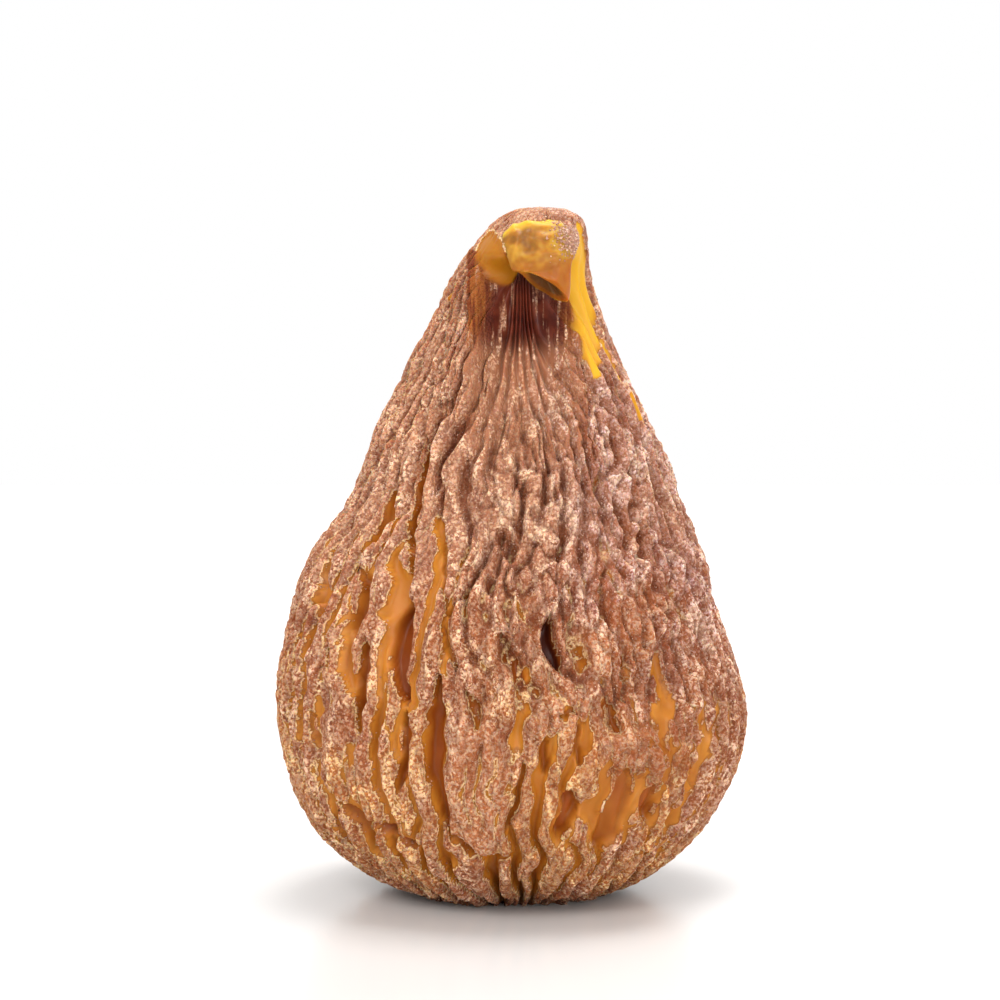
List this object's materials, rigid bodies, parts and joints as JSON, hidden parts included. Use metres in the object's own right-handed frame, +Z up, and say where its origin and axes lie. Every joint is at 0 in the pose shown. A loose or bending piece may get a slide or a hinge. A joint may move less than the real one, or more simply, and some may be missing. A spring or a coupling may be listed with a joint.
{
  "type": "dried fig",
  "caption": "Whole dried fig standing on its settled broad end: a wrinkled pear-shaped fruit with a narrow neck, and the cut stalk folded forward over a hollow in the neck.",
  "frame": {"origin": "middle of the bottom of the fruit's box, on the surface that it stands on", "axes": "+Z up through the neck; -Y is the front, where the stalk folds over; +X to the right of that front"},
  "size_m": [0.0358, 0.0323, 0.0523],
  "materials": {
    "dried_skin": "matt sugar-frosted ridges with satin amber furrows"
  },
  "bodies": {
    "root": {"fig": "dried_skin"}
  },
  "joints": []
}
